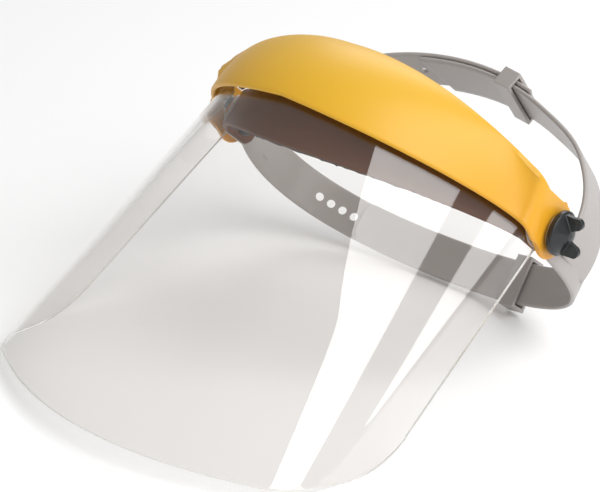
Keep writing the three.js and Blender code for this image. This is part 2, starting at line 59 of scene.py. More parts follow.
forward = (CAMERA_AIM - CAMERA_PLACE).normalized()
camera_data = bpy.data.cameras.new("camera")
camera_data.lens = CAMERA_LENS
camera_data.sensor_width = 36
camera_data.clip_start = 0.01
camera_data.clip_end = 50
camera = bpy.data.objects.new("camera", camera_data)
bpy.context.collection.objects.link(camera)
level = forward.to_track_quat("-Z", "Y").to_matrix()
camera.matrix_world = Matrix.Translation(CAMERA_PLACE) @ (
    level @ Matrix.Rotation(CAMERA_TILT, 3, "Z")).to_4x4()
bpy.context.scene.camera = camera
print("camera looks down by", round(math.degrees(math.asin(-forward.z)), 1), "degrees")

# %% [markdown]
# The floor and the lights. Catalogue pictures like this one are taken on a white sweep under a big
# soft box, which also shows as one long bright shape in the clear visor. So there is a white floor,
# a white world for the even fill, and two area lights. The key light stands where the visor's bend
# mirrors it to the camera, and is rolled so that its long side runs down the visor.

# %% Floor, world and lights
FLOOR_HALF = 6.0
WORLD_STRENGTH = 0.5
MIDDLE = Vector((0, 0, 0.06))

floor_mesh = bpy.data.meshes.new("floor")
floor_mesh.from_pydata(
    [(-FLOOR_HALF, -FLOOR_HALF, 0), (FLOOR_HALF, -FLOOR_HALF, 0),
     (FLOOR_HALF, FLOOR_HALF, 0), (-FLOOR_HALF, FLOOR_HALF, 0)], [], [(0, 1, 2, 3)])
floor = bpy.data.objects.new("floor", floor_mesh)
bpy.context.collection.objects.link(floor)

world = bpy.data.worlds.new("studio")
world.use_nodes = True
world.node_tree.nodes["Background"].inputs["Color"].default_value = (1, 1, 1, 1)
world.node_tree.nodes["Background"].inputs["Strength"].default_value = WORLD_STRENGTH
bpy.context.scene.world = world
bpy.context.scene.view_settings.view_transform = "Standard"   # keeps the white floor white


def soft_box(name, place, aim, width, height, radiance, roll=0.0):
    """A rectangular light turned by roll about its aim; its power is radiance x pi x area."""
    data = bpy.data.lights.new(name, "AREA")
    data.shape = "RECTANGLE"
    data.size = width
    data.size_y = height
    data.energy = radiance * math.pi * width * height
    light = bpy.data.objects.new(name, data)
    light.location = place
    aimed = (Vector(aim) - Vector(place)).to_track_quat("-Z", "Y").to_matrix()
    light.rotation_euler = (aimed @ Matrix.Rotation(roll, 3, "Z")).to_euler()
    bpy.context.collection.objects.link(light)
    return light


VISOR_BEND = Vector((0.06, -0.03, 0.06))
KEY_ROLL = math.radians(-45)
soft_box("key", (0.986, -0.07, 0.97), VISOR_BEND, 1.0, 1.7, 3.6, KEY_ROLL)
soft_box("fill", (-0.6, 1.3, 1.2), MIDDLE, 1.0, 1.0, 2.6)
print("floor, world and two soft boxes")

# %% [markdown]
# The finishes. Every one is procedural: a few numbers on a Principled shader, with noise in object
# coordinates where the real surface has grain. The clear sheet is different. Real refraction in a
# sheet one millimetre thick only shifts what is behind it by a hair, and it makes dark, noisy
# shadows, so the sheet is a slightly tinted see-through shader mixed with a mirror, whose share
# grows as the sheet is seen more edge on.

# %% Materials
def principled(name, color, roughness, metallic=0.0, subsurface=0.0):
    """A plain finish. With subsurface, light soaks a few millimetres in, red the furthest."""
    material = bpy.data.materials.new(name)
    material.use_nodes = True
    shader = material.node_tree.nodes["Principled BSDF"]
    shader.inputs["Base Color"].default_value = (*color, 1)
    shader.inputs["Roughness"].default_value = roughness
    shader.inputs["Metallic"].default_value = metallic
    if subsurface:
        shader.inputs["Subsurface Weight"].default_value = subsurface
        shader.inputs["Subsurface Radius"].default_value = (1.0, 0.55, 0.15)
        shader.inputs["Subsurface Scale"].default_value = 0.003
    return material


def node(material, kind, **inputs):
    """A new node with some of its inputs set."""
    made = material.node_tree.nodes.new(kind)
    for name, value in inputs.items():
        made.inputs[name.replace("_", " ")].default_value = value
    return made


def grain(material, scale, strength, distance):
    """Fine moulded or woven grain as bump."""
    links = material.node_tree.links
    where = node(material, "ShaderNodeTexCoord")
    noise = node(material, "ShaderNodeTexNoise", Scale=scale, Detail=4.0)
    bump = node(material, "ShaderNodeBump", Strength=strength, Distance=distance)
    links.new(where.outputs["Object"], noise.inputs["Vector"])
    links.new(noise.outputs["Fac"], bump.inputs["Height"])
    shader = material.node_tree.nodes["Principled BSDF"]
    links.new(bump.outputs["Normal"], shader.inputs["Normal"])


def wear(material, scale, low, high):
    """Roughness that wanders between two values, as on a handled surface."""
    links = material.node_tree.links
    where = node(material, "ShaderNodeTexCoord")
    noise = node(material, "ShaderNodeTexNoise", Scale=scale, Detail=3.0)
    spread = node(material, "ShaderNodeMapRange")
    spread.inputs["To Min"].default_value = low
    spread.inputs["To Max"].default_value = high
    links.new(where.outputs["Object"], noise.inputs["Vector"])
    links.new(noise.outputs["Fac"], spread.inputs["Value"])
    shader = material.node_tree.nodes["Principled BSDF"]
    links.new(spread.outputs["Result"], shader.inputs["Roughness"])


def painted_height_shade(material, low, high, colors):
    """Painted shade and light: colour that changes with height above the table, shaded low, lit
    high.
    """
    links = material.node_tree.links
    where = node(material, "ShaderNodeTexCoord")
    split = node(material, "ShaderNodeSeparateXYZ")
    spread = node(material, "ShaderNodeMapRange")
    spread.inputs["From Min"].default_value = low
    spread.inputs["From Max"].default_value = high
    ramp = node(material, "ShaderNodeValToRGB")
    for place, color in zip((0, 1), colors):
        ramp.color_ramp.elements[place].color = (*color, 1)
    links.new(where.outputs["Object"], split.inputs["Vector"])
    links.new(split.outputs["Z"], spread.inputs["Value"])
    links.new(spread.outputs["Result"], ramp.inputs["Fac"])
    shader = material.node_tree.nodes["Principled BSDF"]
    links.new(ramp.outputs["Color"], shader.inputs["Base Color"])


# The guard is painted darker and more orange low down as shade, and lighter yellow higher up as
# light falling from above.
SHADED_ORANGE_LOW, LIT_YELLOW_HIGH = (0.70, 0.31, 0.010), (0.70, 0.40, 0.018)
yellow = principled("guard yellow", (0.80, 0.50, 0.035), 0.42, subsurface=0.12)
painted_height_shade(yellow, 0.06, 0.125, (SHADED_ORANGE_LOW, LIT_YELLOW_HIGH))
grain(yellow, 1700, 0.10, 0.0003)
grey = principled("strap grey", (0.36, 0.335, 0.32), 0.34, subsurface=0.05)
wear(grey, 45, 0.28, 0.42)
grain(grey, 900, 0.03, 0.0002)
# The brow band is grey; its dark brown here is painted shade from the guard above it, tinted by
# light through the amber guard.
painted_shade_brown = principled("band brown", (0.11, 0.040, 0.016), 0.5)
painted_shade_brown.node_tree.nodes["Principled BSDF"].inputs["Specular IOR Level"].default_value = 0.25
wear(painted_shade_brown, 45, 0.44, 0.58)
black = principled("fitting black", (0.009, 0.011, 0.012), 0.3)
wear(black, 140, 0.22, 0.38)
grain(black, 1400, 0.04, 0.0002)
foam = principled("sweatband towelling", (0.05, 0.044, 0.04), 0.95)
grain(foam, 1500, 0.5, 0.0006)
nylon = principled("washer nylon", (0.70, 0.68, 0.62), 0.45, subsurface=0.1)
wear(nylon, 200, 0.38, 0.52)
steel = principled("washer steel", (0.52, 0.53, 0.54), 0.28, metallic=1.0)
wear(steel, 260, 0.2, 0.38)
brass = principled("insert brass", (0.58, 0.38, 0.13), 0.28, metallic=1.0)
wear(brass, 260, 0.22, 0.38)
print("materials", len(bpy.data.materials))

# %% [markdown]
# The mirror's share follows Schlick's rule: the share seen face on, plus the rest times the fifth
# power of how edge on the sheet is. A Fresnel node would turn all mirror at the far side of a sheet
# that does not bend light, so Layer Weight's Facing is used, which is alike on both sides.

# %% Clear sheet
SHEET_TINT = (0.965, 0.957, 0.95, 1)
SHEET_INDEX = 1.58
SHEET_MIRROR = ((SHEET_INDEX - 1) / (SHEET_INDEX + 1)) ** 2


def clear_sheet(name):
    """See-through and mirror shaders, mixed by Schlick's rule."""
    material = bpy.data.materials.new(name)
    material.use_nodes = True
    tree = material.node_tree
    tree.nodes.remove(tree.nodes["Principled BSDF"])
    through = node(material, "ShaderNodeBsdfTransparent", Color=SHEET_TINT)
    mirror = node(material, "ShaderNodeBsdfGlossy", Roughness=0.02)
    mirror.inputs["Color"].default_value = (1, 1, 1, 1)
    facing = node(material, "ShaderNodeLayerWeight", Blend=0.5)
    steep = node(material, "ShaderNodeMath")
    steep.operation = "POWER"
    steep.inputs[1].default_value = 5
    share = node(material, "ShaderNodeMapRange")
    share.inputs["To Min"].default_value = SHEET_MIRROR
    share.inputs["To Max"].default_value = 1
    tree.links.new(facing.outputs["Facing"], steep.inputs[0])
    tree.links.new(steep.outputs["Value"], share.inputs["Value"])
    mix = node(material, "ShaderNodeMixShader")
    tree.links.new(share.outputs["Result"], mix.inputs["Fac"])
    tree.links.new(through.outputs["BSDF"], mix.inputs[1])
    tree.links.new(mirror.outputs["BSDF"], mix.inputs[2])
    tree.links.new(mix.outputs["Shader"], tree.nodes["Material Output"].inputs["Surface"])
    return material


clear = clear_sheet("visor clear")
edge = principled("visor cut edge", (0.80, 0.79, 0.76), 0.2)
edge.node_tree.nodes["Principled BSDF"].inputs["Transmission Weight"].default_value = 0.35
print("clear sheet mirrors", round(SHEET_MIRROR, 3), "of the light face on")

# %% [markdown]
# Where things are. The shield is easiest to describe as it is worn: X to the wearer's left ear,
# -Y ahead, Z up, in millimetres, with Z = 0 at mid height of the headband. It lies tipped back on
# the table, so one function turns points of the wearer's frame into the table's frame in metres.

# %% Wearer's frame to table frame
LYING_TILT = math.radians(35.2)
LIFT = np.array([0, 60.4325, 59.3739])


def to_table(points):
    """Turn by LYING_TILT about X, lift by LIFT, and change millimetres to metres."""
    points = np.asarray(points, float)
    x, y, z = points[..., 0], points[..., 1], points[..., 2]
    c, s = math.cos(LYING_TILT), math.sin(LYING_TILT)
    return (np.stack([x, y * c + z * s, z * c - y * s], -1) + LIFT) / 1000


def unit(vectors):
    """Vectors of length one."""
    return vectors / np.maximum(np.linalg.norm(vectors, axis=-1, keepdims=True), 1e-12)


def smooth(value, low, high):
    """0 up to low, 1 from high, and 3t^2 - 2t^3 between them."""
    t = np.clip((value - low) / (high - low), 0, 1)
    return t * t * (3 - 2 * t)


def bezier(*handles, count=200):
    """Points along a Bezier curve: sum of C(n,k) t^k (1-t)^(n-k) P_k."""
    t = np.linspace(0, 1, count)[:, None]
    n = len(handles) - 1
    return sum(math.comb(n, k) * t ** k * (1 - t) ** (n - k) * np.array(p, float)
               for k, p in enumerate(handles))


def chain(*curves):
    """A function of a share from 0 to 1 of the length of curves laid end to end."""
    points = np.concatenate([curves[0], *(c[1:] for c in curves[1:])])
    steps = np.linalg.norm(np.diff(points, axis=0), axis=1)
    length = np.concatenate([[0], np.cumsum(steps)])

    def at(share):
        where = np.clip(share, 0, 1) * length[-1]
        return np.stack([np.interp(where, length, points[:, k]) for k in range(3)], -1)
    return at


print("a point of the pivot line on the table:", to_table([0, -17.4, -0.5]).round(4))

# %% [markdown]
# Making sheets. Nearly everything here is a thin moulded sheet: straps, guard and visor. A Solidify
# modifier could thicken a surface, but it leaves square rims. Here the sheet is built whole, as two
# skins either side of a middle surface with a half-round rim between them, all with array maths.

# %% Mesh helpers
SHARP = 40                          # edges that turn by more degrees than this are drawn sharp


def shade(made, sharp=None):
    """Smooth shading, except across edges that turn by more than sharp degrees."""
    made.data.polygons.foreach_set("use_smooth", np.ones(len(made.data.polygons), bool))
    if sharp:
        made.data.set_sharp_from_angle(angle=math.radians(sharp))


def finish_mesh(name, vertices, faces, materials, sharp=SHARP, indices=None):
    """A new object from whole arrays of points and faces."""
    mesh = bpy.data.meshes.new(name)
    mesh.from_pydata(vertices.reshape(-1, 3).tolist(), [], faces)
    for material in materials:
        mesh.materials.append(material)
    if indices is not None:
        mesh.polygons.foreach_set("material_index", np.asarray(indices, np.int32))
    made = bpy.data.objects.new(name, mesh)
    bpy.context.collection.objects.link(made)
    tidy(made, sharp)
    return made


def tidy(made, sharp=SHARP, merge=1e-7):
    """Joins doubled points, turns the faces outward and shades smoothly except at sharp edges."""
    work = bmesh.new()
    work.from_mesh(made.data)
    bmesh.ops.remove_doubles(work, verts=work.verts, dist=merge)
    bmesh.ops.recalc_face_normals(work, faces=work.faces)
    if work.calc_volume(signed=True) < 0:
        bmesh.ops.reverse_faces(work, faces=work.faces)
    work.to_mesh(made.data)
    work.free()
    shade(made, sharp)


def apply_all(made):
    """Swaps the mesh for what its modifiers make of it."""
    bpy.context.view_layer.update()
    graph = bpy.context.evaluated_depsgraph_get()
    made.data = bpy.data.meshes.new_from_object(made.evaluated_get(graph))
    made.modifiers.clear()


# %% Sheet builder
def sheet(name, grid, thickness, materials, rim=5, edge_slot=0, sharp=SHARP):
    """A closed sheet of even thickness (mm) about a grid of points (rows x columns x 3, mm).
    At rim angle a the rim point is P + (b sin a + n cos a) t/2, with n the surface's normal,
    b the way out across the rim and t the thickness, so the rim stands out by t/2."""
    rows, columns = grid.shape[:2]
    normal = unit(np.cross(np.gradient(grid, axis=0), np.gradient(grid, axis=1)))
    i = np.arange(rows * columns).reshape(rows, columns)
    ring = np.concatenate([i[0, :-1], i[:-1, -1], i[-1, :0:-1], i[:0:-1, 0]])
    outward = np.zeros_like(grid)
    outward[0] += unit(grid[0] - grid[1])
    outward[-1] += unit(grid[-1] - grid[-2])
    outward[:, 0] += unit(grid[:, 0] - grid[:, 1])
    outward[:, -1] += unit(grid[:, -1] - grid[:, -2])
    half = thickness / 2
    outward = unit(outward) * half
    flat = [(grid + normal * half).reshape(-1, 3), (grid - normal * half).reshape(-1, 3)]
    angles = np.linspace(0, math.pi, rim + 2)[1:-1]
    m, n, b = (a.reshape(-1, 3)[ring] for a in (grid, normal, outward))
    rings = [m + b * math.sin(a) + n * half * math.cos(a) for a in angles]
    vertices = np.concatenate(flat + rings)
    total = rows * columns
    quads = np.stack([i[:-1, :-1], i[1:, :-1], i[1:, 1:], i[:-1, 1:]], -1).reshape(-1, 4)
    faces = [quads, quads[:, ::-1] + total]
    levels = [ring] + [2 * total + k * len(ring) + np.arange(len(ring)) for k in range(rim)]
    levels.append(ring + total)
    for upper, lower in zip(levels[:-1], levels[1:]):
        faces.append(np.stack([upper, np.roll(upper, -1), np.roll(lower, -1), lower], -1))
    indices = [0] * (2 * len(quads)) + [edge_slot] * (len(ring) * (rim + 1))
    faces = np.concatenate(faces)
    return finish_mesh(name, to_table(vertices), faces.tolist(), materials, sharp, indices)


def pin(name, origin, direction, low, high, radius, material, sides=40):
    """A closed cylinder along a direction, from one distance to another (mm, wearer's frame)."""
    d = unit(np.asarray(direction, float))
    side = unit(np.cross(d, (0.3, 0.2, 1.0)))
    other = np.cross(d, side)
    t = np.linspace(0, 2 * math.pi, sides, endpoint=False)[:, None]
    circle = (np.cos(t) * side + np.sin(t) * other) * radius + np.asarray(origin, float)
    vertices = np.concatenate([circle + d * low, circle + d * high])
    k = np.arange(sides)
    walls = np.stack([k, (k + 1) % sides, (k + 1) % sides + sides, k + sides], -1).tolist()
    caps = [k[::-1].tolist(), (k + sides).tolist()]
    return finish_mesh(name, to_table(vertices), walls + caps, [material])


# %% Cutting and joining
def cut(made, tools, operation="DIFFERENCE", sharp=SHARP):
    """Applies manifold booleans with each tool in turn, and removes the tools."""
    for tool in tools:
        step = made.modifiers.new("cut", "BOOLEAN")
        step.operation = operation
        step.solver = "MANIFOLD"
        step.object = tool
    apply_all(made)
    for tool in tools:
        bpy.data.objects.remove(tool)
    shade(made, sharp)
    return made


def join(made, others, sharp=SHARP):
    """Takes the others' meshes into made."""
    work = bmesh.new()
    work.from_mesh(made.data)
    for other in others:
        work.from_mesh(other.data)
        bpy.data.objects.remove(other)
    work.to_mesh(made.data)
    work.free()
    shade(made, sharp)


print("sheet builder ready")

# %% [markdown]
# The headband loop. Straps are moulded flat and buckled round, so the whole headgear hangs on one
# curve: a curved brow, a flat stretch at each temple where the pivots are bolted, and a round nape
# that sits lower. A place on it runs from 0 at the forehead to 1 at the nape and on to 2. The crown
# strap follows an arch of its own, counted in degrees from the left temple.

# %% Loop and arch
TEMPLE_X, TEMPLE_FRONT, TEMPLE_REAR = 81.5, -26.5, -8.5
LOOP_FRONT, LOOP_REAR = 91.0, 65.5
BAND_HEIGHT, BAND_WALL = 20.0, 2.0
LAYER = 1.15                        # each of two lapped straps lies this far off the middle
NAPE_DROP, BROW_DROP, BROW_LEAN = 14.2, 9.0, 4.0
TEMPLE_BEND = math.radians(20)      # how far the band turns at the flat stretch
bend = np.array([math.sin(TEMPLE_BEND), math.cos(TEMPLE_BEND), 0])
temple_front = np.array([TEMPLE_X, TEMPLE_FRONT, 0])
temple_rear = np.array([TEMPLE_X, TEMPLE_REAR, 0])
half_loop = chain(
    bezier((0, -LOOP_FRONT, 0), (35, -LOOP_FRONT, 0), temple_front - 11 * bend, temple_front,
           count=600),
    bezier(temple_front, temple_rear, count=60),
    bezier(temple_rear, temple_rear + 45 * bend, (74, LOOP_REAR, 0), (0, LOOP_REAR, 0), count=900))


def loop_plan(place):
    """The loop's curve seen from above: the left half, and its mirror image past the nape."""
    round_ = np.mod(place, 2)
    points = half_loop(np.minimum(round_, 2 - round_))
    points[..., 0] *= np.where(round_ > 1, -1, 1)
    return points


def loop_outward(place):
    """The level direction away from the head: the curve's tangent turned a quarter turn."""
    along = loop_plan(place + 0.004) - loop_plan(place - 0.004)
    return unit(np.stack([along[..., 1], -along[..., 0], 0 * along[..., 0]], -1))


def loop_point(place, off, height):
    """place round the loop, off the middle of the wall, and height on the band. The band drops
    in a straight line to the nape, and as the power 1.5 to the brow, where it also leans in."""
    place, off, height = np.broadcast_arrays(
        *(np.asarray(a, float) for a in (place, off, height)))
    p = loop_plan(place)
    to_nape = np.maximum(p[..., 1] - TEMPLE_REAR, 0) / (LOOP_REAR - TEMPLE_REAR)
    to_brow = np.maximum(TEMPLE_FRONT - p[..., 1], 0) / (LOOP_FRONT + TEMPLE_FRONT)
    drop = NAPE_DROP * to_nape + BROW_DROP * to_brow ** 1.5
    lean = BROW_LEAN * smooth(to_brow, 0, 0.4) * (height / BAND_HEIGHT + 0.5)
    p = p + loop_outward(place) * (off - lean)[..., None]
    p[..., 2] = height - drop
    return p


CROWN_Y, CROWN_RISE, CROWN_HALF_SPAN, CROWN_WIDTH = 11.7, 61.9, 86.4, 25.8
CROWN_LEAN = math.radians(8.7)
LEAN_UP = np.array([0, math.sin(CROWN_LEAN), math.cos(CROWN_LEAN)])
LEAN_BACK = np.array([0, math.cos(CROWN_LEAN), -math.sin(CROWN_LEAN)])


def arch_point(degrees, off, across):
    """The half ellipse x = a cos t, up = b sin t, in a plane that leans back."""
    degrees, off, across = np.broadcast_arrays(
        *(np.asarray(a, float) for a in (degrees, off, across)))
    t = np.radians(degrees)
    outward = unit(np.stack([CROWN_RISE * np.cos(t), CROWN_HALF_SPAN * np.sin(t)], -1))
    x = CROWN_HALF_SPAN * np.cos(t) + outward[..., 0] * off
    up = CROWN_RISE * np.sin(t) + outward[..., 1] * off
    start = np.stack([x, 0 * x + CROWN_Y, 0 * x], -1)
    return start + up[..., None] * LEAN_UP + across[..., None] * LEAN_BACK


def arch_outward(degrees):
    """The way out from under the arch, square to it."""
    return arch_point(degrees, 1, 0) - arch_point(degrees, 0, 0)


print("half the loop's middle line:", half_loop(np.array([0.0, 0.5, 1.0])).round(1).tolist())

# %% [markdown]
# The straps. The brow band and the two harness halves are nylon-like mouldings two millimetres
# thick with softly rounded rims. Each is a sheet along its curve. The ends of the headband straps
# are rounded, the crown strap's ends are cut at a slant, and where the crown strap grows out of the
# headband it flares, so the joint looks moulded in one shot rather than crossed.

# %% Strap shapes
def end_width(share, stretch):
    """Half width of a strap near its end: a quarter circle over the last stretch."""
    into = np.minimum(share / stretch, 1)
    return 0.35 + 0.65 * np.sqrt(1 - (1 - into) ** 2)


END_TRIM = 1 / 261                  # one millimetre as a place: the rim adds it again
ACROSS, CROWN_ACROSS = 13, 15       # points across a strap


def loop_strap(name, start, stop, off, start_round, stop_round, material, steps=260):
    """Heights across the band at evenly spaced places, closer together at the rounded ends."""
    u = (1 - np.cos(np.linspace(0, math.pi, steps))) / 2
    u = 0.5 * u + 0.5 * np.linspace(0, 1, steps)
    v = np.linspace(-0.5, 0.5, ACROSS)
    trim = END_TRIM * np.sign(stop - start)
    place = start + trim + (stop - start - 2 * trim) * u
    narrow = np.minimum(end_width(u, start_round), end_width(1 - u, stop_round))
    height = v[None] * (BAND_HEIGHT - BAND_WALL) * narrow[:, None]
    grid = loop_point(place[:, None], off(place)[:, None], height)
    return sheet(name, grid[::1 if stop > start else -1], BAND_WALL, [material])


CROWN_FOOT, CROWN_SLANT = -6.0, 6.0
CROWN_FLARE, FLARE_END = 0.16, 24   # extra width at the headband, and where it has died out


def crown_width(degrees):
    """The crown strap's width: CROWN_WIDTH, and more near the headband."""
    from_band = np.minimum(degrees, 180 - degrees)
    return CROWN_WIDTH * (1 + CROWN_FLARE * (1 - smooth(from_band, 0, FLARE_END)))


def arch_strap(name, start, stop, off, material, steps=200):
    """Like loop_strap, with its far end cut at a slant that is longer on the front edge."""
    u = np.linspace(0, 1, steps)[:, None]
    v = np.linspace(0, 1, CROWN_ACROSS)[None]
    slant = CROWN_SLANT * np.sign(stop - start) * (0.5 - v) * u ** 8
    degrees = start + (stop - start) * u + slant
    across = (v - 0.5) * (crown_width(degrees) - BAND_WALL)
    grid = arch_point(degrees, off(degrees), across)
    return sheet(name, grid[::1 if stop > start else -1], BAND_WALL, [material])


PIVOT = np.array([0, -17.4, -0.5])
BOLT_HOLE = 3.1                     # radius
LEFT, RIGHT = 1, -1                 # the sign of X at the wearer's left and right ear


def pivot_pin(name, low, high, radius, side, material, sides=48):
    """A cylinder on the pivot line at one ear, from one distance off the middle to another."""
    return pin(name, PIVOT, (side, 0, 0), low, high, radius, material, sides)


# %% [markdown]
# The brow band is the innermost strap, from temple to temple. A flat round boss at each end gives
# the pivot bolt's head a level seat on the curved strap, and the bolt's hole goes through both.

# %% Brow band
BROW_END = 0.488
ROUND = 0.02                        # share of a strap's length that its rounded end takes
# The band's dark brown is painted shade under the guard, tinted by light through the amber guard.
brow = loop_strap("brow_band_strap", -BROW_END, BROW_END, lambda p: 0 * p - LAYER, ROUND, ROUND,
                  painted_shade_brown, 420)
cut(brow, [pivot_pin("boss", 79, 80.2, 8.5, side, painted_shade_brown) for side in (LEFT, RIGHT)], "UNION")
cut(brow, [pivot_pin("hole", 77, 83, BOLT_HOLE, side, painted_shade_brown) for side in (LEFT, RIGHT)])
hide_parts("brow_band")
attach(brow, "headgear")
print("brow band", len(brow.data.polygons), "faces")

# %% [markdown]
# The harness halves. The left half dives under the right one at the nape and at the crown, and
# mushroom studs on it snap through the right half's holes. Four more holes lie free on each strap:
# they are the sizes the headgear can be set to. The holes are real booleans, because a hole drawn
# on with a texture would not show its thickness. The exact solver stumbles over these long thin
# strips, and the manifold solver, made for closed meshes, does not.

# %% Harness halves
HARNESS_START = 0.4
NAPE_ENDS = (1.197, 0.8)            # where the left and the right half end at the nape
CROWN_ENDS = (104, 70)              # and over the crown, in degrees
NAPE_STUDS, NAPE_HOLES = (0.95, 1.03), (1.21, 1.2345, 1.259, 1.2835)
CROWN_STUDS, CROWN_HOLES = (86, 93), (105.3, 109.7, 114.1, 118.5)
HOLE_RADIUS, STUD_RADIUS, STUD_HEAD_RADIUS = 2.1, 1.7, 3.4
TEMPLE_ROUND = 0.04
HARNESS_BOSS = (82.8, 84, 8.8)      # from, to and radius of the flat boss at each temple


def stud(name, middle, outward, material):
    """A stem and a flat-domed head, standing on the under strap."""
    stem = pin(name, middle, outward, -LAYER, 2.95, STUD_RADIUS, material, 28)
    rim = pin(name + " head", middle, outward, 2.45, 3.1, STUD_HEAD_RADIUS, material, 36)
    dome = pin(name + " dome", middle, outward, 3.0, 3.42, 2.8, material, 36)
    return [stem, rim, dome]


def hole(middle, outward):
    """A tool that goes right through a strap."""
    return pin("hole", middle, outward, -3, 3, HOLE_RADIUS, grey)


def dives(low, high):
    """From the outer layer to the under one, between two places."""
    return lambda place: LAYER - 2 * LAYER * smooth(place, low, high)


left = loop_strap("harness_left_half", HARNESS_START, NAPE_ENDS[0], dives(0.6, 0.76),
                  TEMPLE_ROUND, ROUND, grey, 360)
left_arch = arch_strap("left arch", CROWN_FOOT, CROWN_ENDS[0], dives(36, 60), grey)
studs = []
for place in NAPE_STUDS:
    studs += stud("stud", loop_point(place, 0, 0), loop_outward(np.array(place)), grey)
for degrees in CROWN_STUDS:
    studs += stud("stud", arch_point(degrees, 0, 0), arch_outward(degrees), grey)
cut(left, [left_arch, pivot_pin("boss", *HARNESS_BOSS, LEFT, grey)], "UNION")
cut(left, [pivot_pin("hole", 80, 86, BOLT_HOLE, LEFT, grey)])
join(left, studs)

right = loop_strap("harness_right_half", 2 - HARNESS_START, NAPE_ENDS[1], lambda p: 0 * p + LAYER,
                   TEMPLE_ROUND, ROUND, grey, 360)
right_arch = arch_strap("right arch", 180 - CROWN_FOOT, CROWN_ENDS[1], lambda d: 0 * d + LAYER,
                        grey)
nape_holes = [hole(loop_point(p, LAYER, 0), loop_outward(np.array(p)))
              for p in NAPE_HOLES + NAPE_STUDS]
crown_holes = [hole(arch_point(d, LAYER, 0), arch_outward(d))
               for d in CROWN_HOLES + CROWN_STUDS]
cut(right, [pivot_pin("boss", *HARNESS_BOSS, RIGHT, grey)], "UNION")
cut(right, nape_holes + [pivot_pin("hole", 80, 86, BOLT_HOLE, RIGHT, grey)])
cut(right_arch, crown_holes)
cut(right, [right_arch], "UNION")
for half, name in ((left, "harness_left"), (right, "harness_right")):
    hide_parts(name)
    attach(half, "headgear")
    print(name, len(half.data.polygons), "faces")

# %% [markdown]
# The keepers, wing knobs and bolts are small chunky mouldings. Their CAD shapes are right but have
# hard edges, which no moulding has. A Bevel modifier trips over the crossing curves of the knob, so
# each one is copied, remeshed into small even cubes and relaxed, which rounds every edge alike.

# %% Softened mouldings
def softened(name, voxel, passes, material, body):
    """A copy of a CAD node remeshed at the voxel size and relaxed, with soft edges."""
    made = bpy.data.objects.new(name + "_soft", NODES[name].data.copy())
    bpy.context.collection.objects.link(made)
    tidy(made)
    remesh = made.modifiers.new("remesh", "REMESH")
    remesh.mode = "VOXEL"
    remesh.voxel_size = voxel
    relax = made.modifiers.new("relax", "SMOOTH")
    relax.factor = 0.5
    relax.iterations = passes
    apply_all(made)
    made.data.materials.clear()
    made.data.materials.append(material)
    shade(made)
    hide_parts(name)
    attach(made, body)
    print(name, len(made.data.polygons), "faces")


KEEPER_CUBE, KNOB_CUBE, BOLT_CUBE = 0.00022, 0.00021, 0.0002      # metres
for keeper in ("nape_keeper", "crown_keeper"):
    softened(keeper, KEEPER_CUBE, 5, grey, keeper)
for side in ("left", "right"):
    softened(f"wing_knob_{side}", KNOB_CUBE, 5, black, f"{side}_knob")
    softened(f"pivot_bolt_{side}", BOLT_CUBE, 3, black, "headgear")

# %% [markdown]
# The brow guard. It is one moulding that swells from its lip at the brow up and back to a crest,
# where it turns in as a narrow level flange, and it runs into a flat plate with a round end at each
# temple. The whole of it is one grid: along the brow first, and past the temple the same rows fan
# out over the plate to its round end, so no seam shows where wall turns into plate.

# %% Guard
EAR_INNER_X, EAR_WALL = 85.8, 2.2
EAR_X = EAR_INNER_X + EAR_WALL / 2
EAR_RADIUS = 12.6
EAR_TURN = (-118, 90)               # the round end, in degrees from straight back
WALL_SHARE = 0.875                  # the wall's share of the way up; the flange has the rest
WALL_FOOT = 0.03                    # the rim below this makes the lip's edge
PROFILE = 2 / 1.5                   # 2 would be a straight wall, 1 an elliptical one
FLANGE, FLANGE_LEAST = 3.9, 0.6     # reach at the brow, and what is left of it at the ears
GUARD_SHARP = 60
lip_edge = chain(
    bezier((0, -101.7, -2.8), (55.2, -101.7, -6.2), (70.8, -45.4, -1.3), (83.8, -39, -5.6)),
    bezier((83.8, -39, -5.6), (EAR_X, -37.5, -6.6), (EAR_X, -31, -8.8)))
crest_edge = chain(
    bezier((0, -73.2, 32), (41.3, -73.2, 33.3), (74.5, -49.9, 17.6), (84.2, -44.4, 13.4)),
    bezier((84.2, -44.4, 13.4), (EAR_X, -42.9, 12.2), (EAR_X, -36.5, 10.8)))


def mirrored(edge_curve, along):
    """A point of an edge drawn for the left half only, at along from -1 to 1."""
    points = edge_curve(np.abs(along))
    points[..., 0] *= np.where(along < 0, -1, 1)
    return points


def guard_point(along, up):
    """Wall: with a = 90 degrees x up / WALL_SHARE, the point is lip + (1 - cos^p a) of the way
    back and sin^p a of the way up to the crest. Flange: in from the crest, level."""
    lip, crest = mirrored(lip_edge, along), mirrored(crest_edge, along)
    angle = np.minimum(up / WALL_SHARE, 1) * math.pi / 2
    back = crest - lip
    wall = lip + back * (1 - np.cos(angle) ** PROFILE)[..., None]
    wall[..., 2] = lip[..., 2] + back[..., 2] * np.sin(angle) ** PROFILE
    ahead = mirrored(crest_edge, along + 0.01) - mirrored(crest_edge, along - 0.01)
    inward = unit(np.stack([-ahead[..., 1], ahead[..., 0], 0 * along], -1))
    share = np.maximum(up - WALL_SHARE, 0) / (1 - WALL_SHARE)
    reach = FLANGE * (1 - smooth(np.abs(along), 0.5, 0.95)) + FLANGE_LEAST
    return wall + inward * (share * reach)[..., None]


